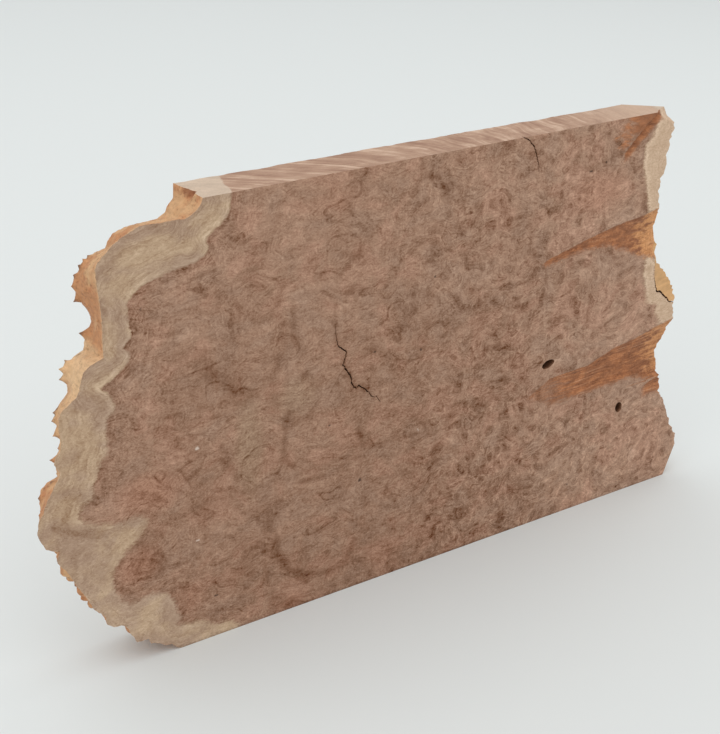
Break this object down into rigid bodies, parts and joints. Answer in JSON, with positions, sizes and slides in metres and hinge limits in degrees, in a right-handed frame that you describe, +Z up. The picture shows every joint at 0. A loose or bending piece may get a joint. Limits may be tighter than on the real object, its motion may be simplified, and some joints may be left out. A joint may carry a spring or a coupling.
{
  "type": "mallee burl slab",
  "caption": "Upright slab of mallee burl, sawn flat on both faces, top and base, with a thorny natural edge at one end and a craggy fluted one at the other.",
  "frame": {"origin": "centre of the bounding box, on the sawn base that the slab stands on", "axes": "+X along the slab towards its craggy end, +Y through its thickness towards the back face, +Z up"},
  "size_m": [0.416, 0.0288, 0.239],
  "materials": {
    "burl_wood": "bare sawn wood, matt, with debarked natural ends"
  },
  "bodies": {
    "root": {"mallee_burl_slab": "burl_wood"}
  },
  "joints": []
}
